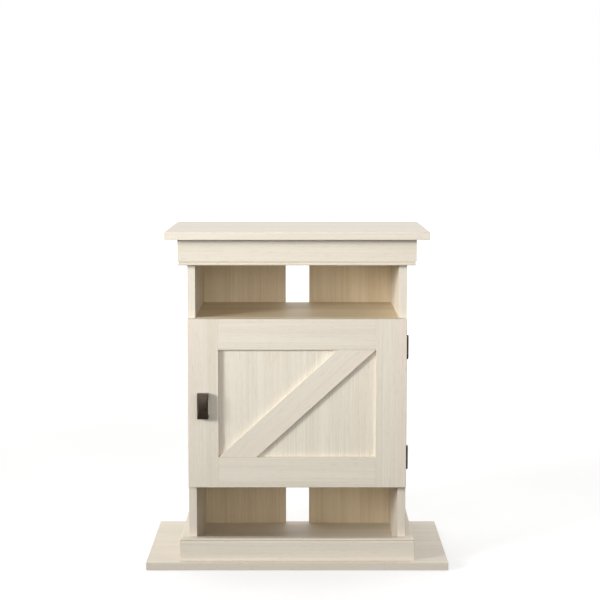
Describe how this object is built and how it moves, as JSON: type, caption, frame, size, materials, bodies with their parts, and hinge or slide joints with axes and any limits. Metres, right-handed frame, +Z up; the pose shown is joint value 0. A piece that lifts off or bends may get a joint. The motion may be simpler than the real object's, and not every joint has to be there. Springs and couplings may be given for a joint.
{
  "type": "aquarium stand cabinet",
  "caption": "Cabinet stand for a small aquarium: overhanging top, open cubbies above and below a hinged farmhouse door, and a base plank wider than the cabinet.",
  "frame": {"origin": "middle of the footprint's bounding box, on the floor", "axes": "+X to the right as seen from the front, +Y to the back, +Z up"},
  "size_m": [0.695, 0.36, 0.78],
  "materials": {
    "ivory_wood": "satin ivory laminate with a fine straight grain",
    "dark_metal": "satin black, slightly warm",
    "zinc_steel": "bright zinc plate",
    "beech": "raw beech, fluted",
    "catch_plastic": "moulded off-white",
    "magnet": "matte dark grey, ferrite"
  },
  "bodies": {
    "cabinet": {"top_panel": "ivory_wood", "base_plank": "ivory_wood", "left_side_panel": "ivory_wood", "right_side_panel": "ivory_wood", "upper_shelf": "ivory_wood", "lower_shelf": "ivory_wood", "left_back_panel": "ivory_wood", "right_back_panel": "ivory_wood", "front_apron": "ivory_wood", "left_apron": "ivory_wood", "right_apron": "ivory_wood", "front_kick_board": "ivory_wood", "left_kick_board": "ivory_wood", "right_kick_board": "ivory_wood", "shelf_cam_locks": "zinc_steel", "shelf_cam_bolts": "zinc_steel", "top_cam_locks": "zinc_steel", "top_cam_bolts": "zinc_steel", "apron_cam_locks": "zinc_steel", "apron_cam_bolts": "zinc_steel", "shelf_dowels": "beech", "top_dowels": "beech", "base_dowels": "beech", "back_panel_dowels": "beech", "base_screws": "zinc_steel", "kick_board_screws": "zinc_steel", "side_apron_screws": "zinc_steel", "back_panel_screws": "zinc_steel", "upper_hinge_frame_leaf": "dark_metal", "upper_hinge_pin": "dark_metal", "lower_hinge_frame_leaf": "dark_metal", "lower_hinge_pin": "dark_metal", "hinge_frame_screws": "dark_metal", "catch_housing": "catch_plastic", "catch_magnet": "magnet", "catch_screws": "zinc_steel"},
    "door": {"door_left_stile": "ivory_wood", "door_right_stile": "ivory_wood", "door_top_rail": "ivory_wood", "door_bottom_rail": "ivory_wood", "door_panel": "ivory_wood", "door_brace": "ivory_wood", "door_dowels": "beech", "brace_screws": "zinc_steel", "door_handle": "dark_metal", "handle_screws": "zinc_steel", "upper_hinge_door_leaf": "dark_metal", "lower_hinge_door_leaf": "dark_metal", "hinge_door_screws": "dark_metal", "strike_plate": "zinc_steel", "strike_screw": "zinc_steel"}
  },
  "joints": [
    {"name": "door_hinge", "type": "hinge", "parent": "cabinet", "child": "door", "pos_m": [0.2523, -0.13375, 0.3855], "axis": [0, 0, 1], "range_deg": [0, 190]}
  ]
}
